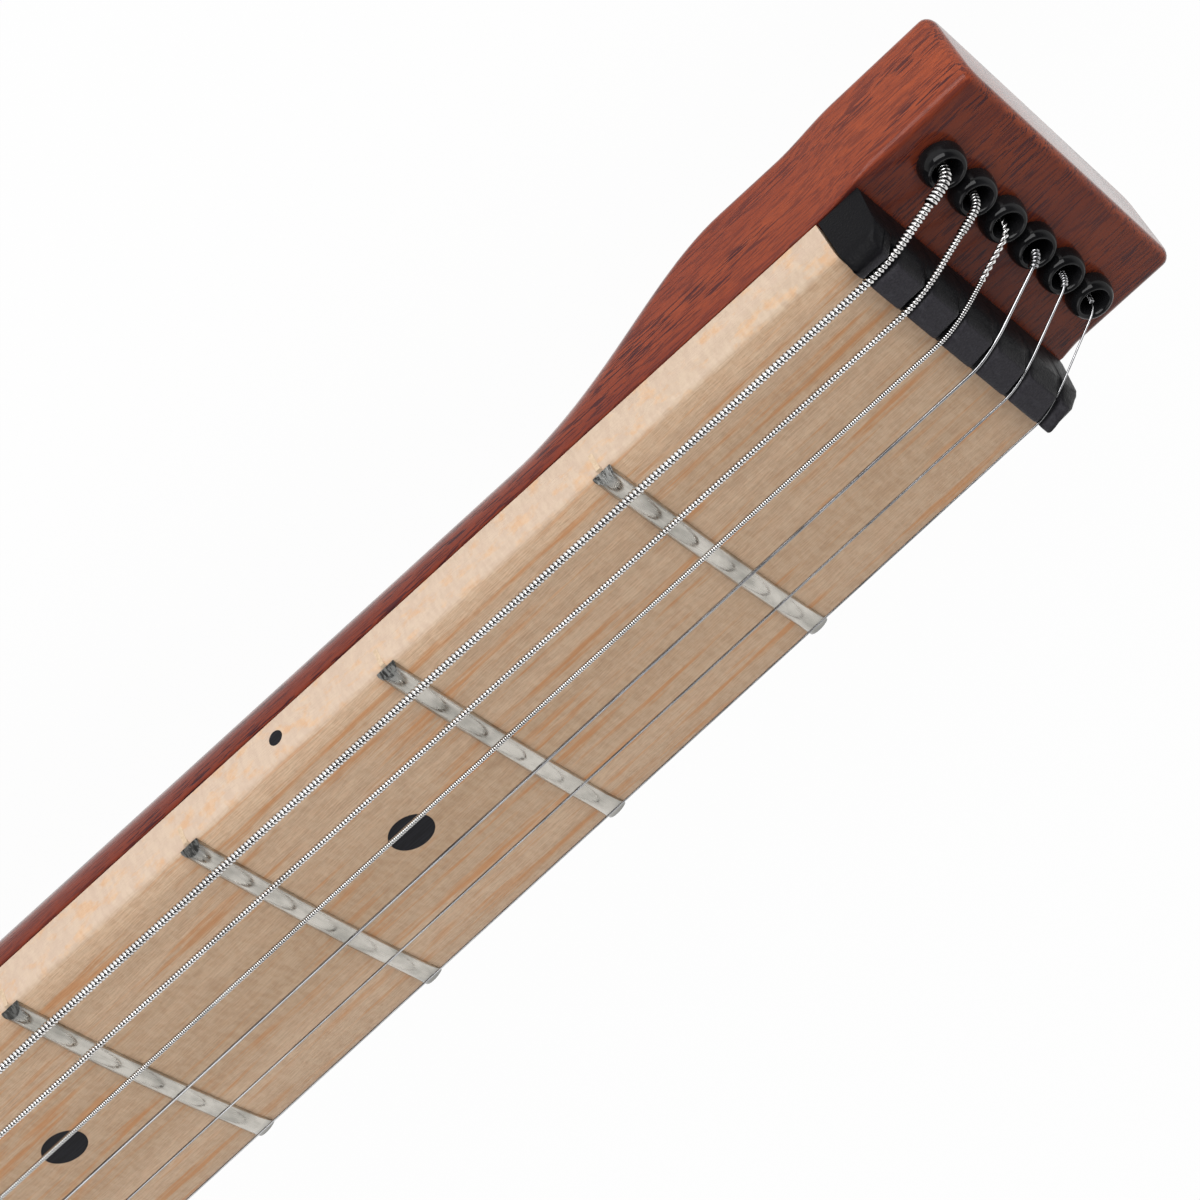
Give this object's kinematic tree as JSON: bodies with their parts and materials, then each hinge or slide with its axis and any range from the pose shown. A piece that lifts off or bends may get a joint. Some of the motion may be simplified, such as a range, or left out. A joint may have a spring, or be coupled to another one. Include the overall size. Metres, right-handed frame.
{
  "type": "travel electric guitar",
  "caption": "Headless full-scale travel electric guitar with a slim mahogany neck-through body, maple fingerboard, tail tuners and pull-out lap and arm rests.",
  "frame": {"origin": "on the body's flat back, on the centre line, under the bridge end of the 648 mm string scale", "axes": "+X along the strings towards the head, +Y towards the bass side, +Z out of the playing face; the guitar lies on its back"},
  "size_m": [0.8142, 0.2394, 0.0539],
  "materials": {
    "mahogany": "open-pored mahogany, orange red-brown, satin-gloss lacquer",
    "maple": "pale tan maple, fine grain, satin",
    "black_plastic": "black moulded plastic, satin to gloss",
    "black_metal": "gloss black plated hardware",
    "wound_string": "nickel-wound steel string",
    "plain_string": "plain bright steel string",
    "steel": "plated steel"
  },
  "bodies": {
    "guitar": {"neck_body": "mahogany", "fingerboard": "maple", "nut": "black_plastic", "ferrule_e6": "black_metal", "string_e6": "wound_string", "tuner_plate_e6": "black_metal", "tuner_bushing_e6": "black_metal", "ferrule_a5": "black_metal", "string_a5": "wound_string", "tuner_plate_a5": "black_metal", "tuner_bushing_a5": "black_metal", "ferrule_d4": "black_metal", "string_d4": "wound_string", "tuner_plate_d4": "black_metal", "tuner_bushing_d4": "black_metal", "ferrule_g3": "black_metal", "string_g3": "plain_string", "tuner_plate_g3": "black_metal", "tuner_bushing_g3": "black_metal", "ferrule_b2": "black_metal", "string_b2": "plain_string", "tuner_plate_b2": "black_metal", "tuner_bushing_b2": "black_metal", "ferrule_e1": "black_metal", "string_e1": "plain_string", "tuner_plate_e1": "black_metal", "tuner_bushing_e1": "black_metal", "bridge_plate": "black_metal", "humbucker": "black_plastic", "pickup_ring": "black_plastic", "volume_pot": "steel", "tone_pot": "steel", "control_cover": "black_plastic", "jack_socket": "steel", "jack_plate": "black_metal", "strap_button_side": "black_metal", "strap_button_tail": "black_metal"},
    "tuner_key_e6": {"tuner_key_e6": "black_metal"},
    "tuner_post_e6": {"tuner_post_e6": "black_metal"},
    "saddle_e6": {"saddle_e6": "black_metal"},
    "tuner_key_a5": {"tuner_key_a5": "black_metal"},
    "tuner_post_a5": {"tuner_post_a5": "black_metal"},
    "saddle_a5": {"saddle_a5": "black_metal"},
    "tuner_key_d4": {"tuner_key_d4": "black_metal"},
    "tuner_post_d4": {"tuner_post_d4": "black_metal"},
    "saddle_d4": {"saddle_d4": "black_metal"},
    "tuner_key_g3": {"tuner_key_g3": "black_metal"},
    "tuner_post_g3": {"tuner_post_g3": "black_metal"},
    "saddle_g3": {"saddle_g3": "black_metal"},
    "tuner_key_b2": {"tuner_key_b2": "black_metal"},
    "tuner_post_b2": {"tuner_post_b2": "black_metal"},
    "saddle_b2": {"saddle_b2": "black_metal"},
    "tuner_key_e1": {"tuner_key_e1": "black_metal"},
    "tuner_post_e1": {"tuner_post_e1": "black_metal"},
    "saddle_e1": {"saddle_e1": "black_metal"},
    "volume_knob": {"volume_knob": "black_plastic"},
    "tone_knob": {"tone_knob": "black_plastic"},
    "lap_rest": {"lap_rest": "black_metal"},
    "arm_rest": {"arm_rest": "black_metal"},
    "truss_rod": {"truss_rod": "steel"}
  },
  "joints": [
    {"name": "key_turn_e6", "type": "hinge", "parent": "guitar", "child": "tuner_key_e6", "pos_m": [-0.06425, 0.027, 0.01195], "axis": [0, 1, 0], "continuous": true},
    {"name": "post_turn_e6", "type": "hinge", "parent": "guitar", "child": "tuner_post_e6", "pos_m": [-0.072, 0.027, 0.01195], "axis": [0, 0, 1], "continuous": true},
    {"name": "saddle_slide_e6", "type": "slide", "parent": "guitar", "child": "saddle_e6", "axis": [1, 0, 0], "range_m": [0, 0.004]},
    {"name": "key_turn_a5", "type": "hinge", "parent": "guitar", "child": "tuner_key_a5", "pos_m": [-0.08725, 0.024, 0.01195], "axis": [0, 1, 0], "continuous": true},
    {"name": "post_turn_a5", "type": "hinge", "parent": "guitar", "child": "tuner_post_a5", "pos_m": [-0.095, 0.024, 0.01195], "axis": [0, 0, 1], "continuous": true},
    {"name": "saddle_slide_a5", "type": "slide", "parent": "guitar", "child": "saddle_a5", "axis": [1, 0, 0], "range_m": [0, 0.004]},
    {"name": "key_turn_d4", "type": "hinge", "parent": "guitar", "child": "tuner_key_d4", "pos_m": [-0.11025, 0.02, 0.01195], "axis": [0, 1, 0], "continuous": true},
    {"name": "post_turn_d4", "type": "hinge", "parent": "guitar", "child": "tuner_post_d4", "pos_m": [-0.118, 0.02, 0.01195], "axis": [0, 0, 1], "continuous": true},
    {"name": "saddle_slide_d4", "type": "slide", "parent": "guitar", "child": "saddle_d4", "axis": [1, 0, 0], "range_m": [0, 0.004]},
    {"name": "key_turn_g3", "type": "hinge", "parent": "guitar", "child": "tuner_key_g3", "pos_m": [-0.11025, -0.02, 0.01195], "axis": [0, 1, 0], "continuous": true},
    {"name": "post_turn_g3", "type": "hinge", "parent": "guitar", "child": "tuner_post_g3", "pos_m": [-0.118, -0.02, 0.01195], "axis": [0, 0, 1], "continuous": true},
    {"name": "saddle_slide_g3", "type": "slide", "parent": "guitar", "child": "saddle_g3", "axis": [1, 0, 0], "range_m": [0, 0.004]},
    {"name": "key_turn_b2", "type": "hinge", "parent": "guitar", "child": "tuner_key_b2", "pos_m": [-0.08725, -0.024, 0.01195], "axis": [0, 1, 0], "continuous": true},
    {"name": "post_turn_b2", "type": "hinge", "parent": "guitar", "child": "tuner_post_b2", "pos_m": [-0.095, -0.024, 0.01195], "axis": [0, 0, 1], "continuous": true},
    {"name": "saddle_slide_b2", "type": "slide", "parent": "guitar", "child": "saddle_b2", "axis": [1, 0, 0], "range_m": [0, 0.004]},
    {"name": "key_turn_e1", "type": "hinge", "parent": "guitar", "child": "tuner_key_e1", "pos_m": [-0.06425, -0.027, 0.01195], "axis": [0, 1, 0], "continuous": true},
    {"name": "post_turn_e1", "type": "hinge", "parent": "guitar", "child": "tuner_post_e1", "pos_m": [-0.072, -0.027, 0.01195], "axis": [0, 0, 1], "continuous": true},
    {"name": "saddle_slide_e1", "type": "slide", "parent": "guitar", "child": "saddle_e1", "axis": [1, 0, 0], "range_m": [0, 0.004]},
    {"name": "volume_turn", "type": "hinge", "parent": "guitar", "child": "volume_knob", "pos_m": [0.088, -0.036, 0.04], "axis": [0, 0, 1], "range_deg": [-150, 150]},
    {"name": "tone_turn", "type": "hinge", "parent": "guitar", "child": "tone_knob", "pos_m": [0.122, -0.036, 0.04], "axis": [0, 0, 1], "range_deg": [-150, 150]},
    {"name": "lap_rest_pull", "type": "slide", "parent": "guitar", "child": "lap_rest", "axis": [0, -1, 0], "range_m": [0, 0.03]},
    {"name": "arm_rest_pull", "type": "slide", "parent": "guitar", "child": "arm_rest", "axis": [0, 1, 0], "range_m": [0, 0.03]},
    {"name": "truss_rod_turn", "type": "hinge", "parent": "guitar", "child": "truss_rod", "pos_m": [0.16684, 0, 0.0356], "axis": [1, 0, 0], "range_deg": [-180, 180]}
  ],
  "couplings": [
    {"joint": "post_turn_e6", "follows": "key_turn_e6", "ratio": -0.071429},
    {"joint": "post_turn_a5", "follows": "key_turn_a5", "ratio": -0.071429},
    {"joint": "post_turn_d4", "follows": "key_turn_d4", "ratio": -0.071429},
    {"joint": "post_turn_g3", "follows": "key_turn_g3", "ratio": -0.071429},
    {"joint": "post_turn_b2", "follows": "key_turn_b2", "ratio": -0.071429},
    {"joint": "post_turn_e1", "follows": "key_turn_e1", "ratio": -0.071429}
  ]
}
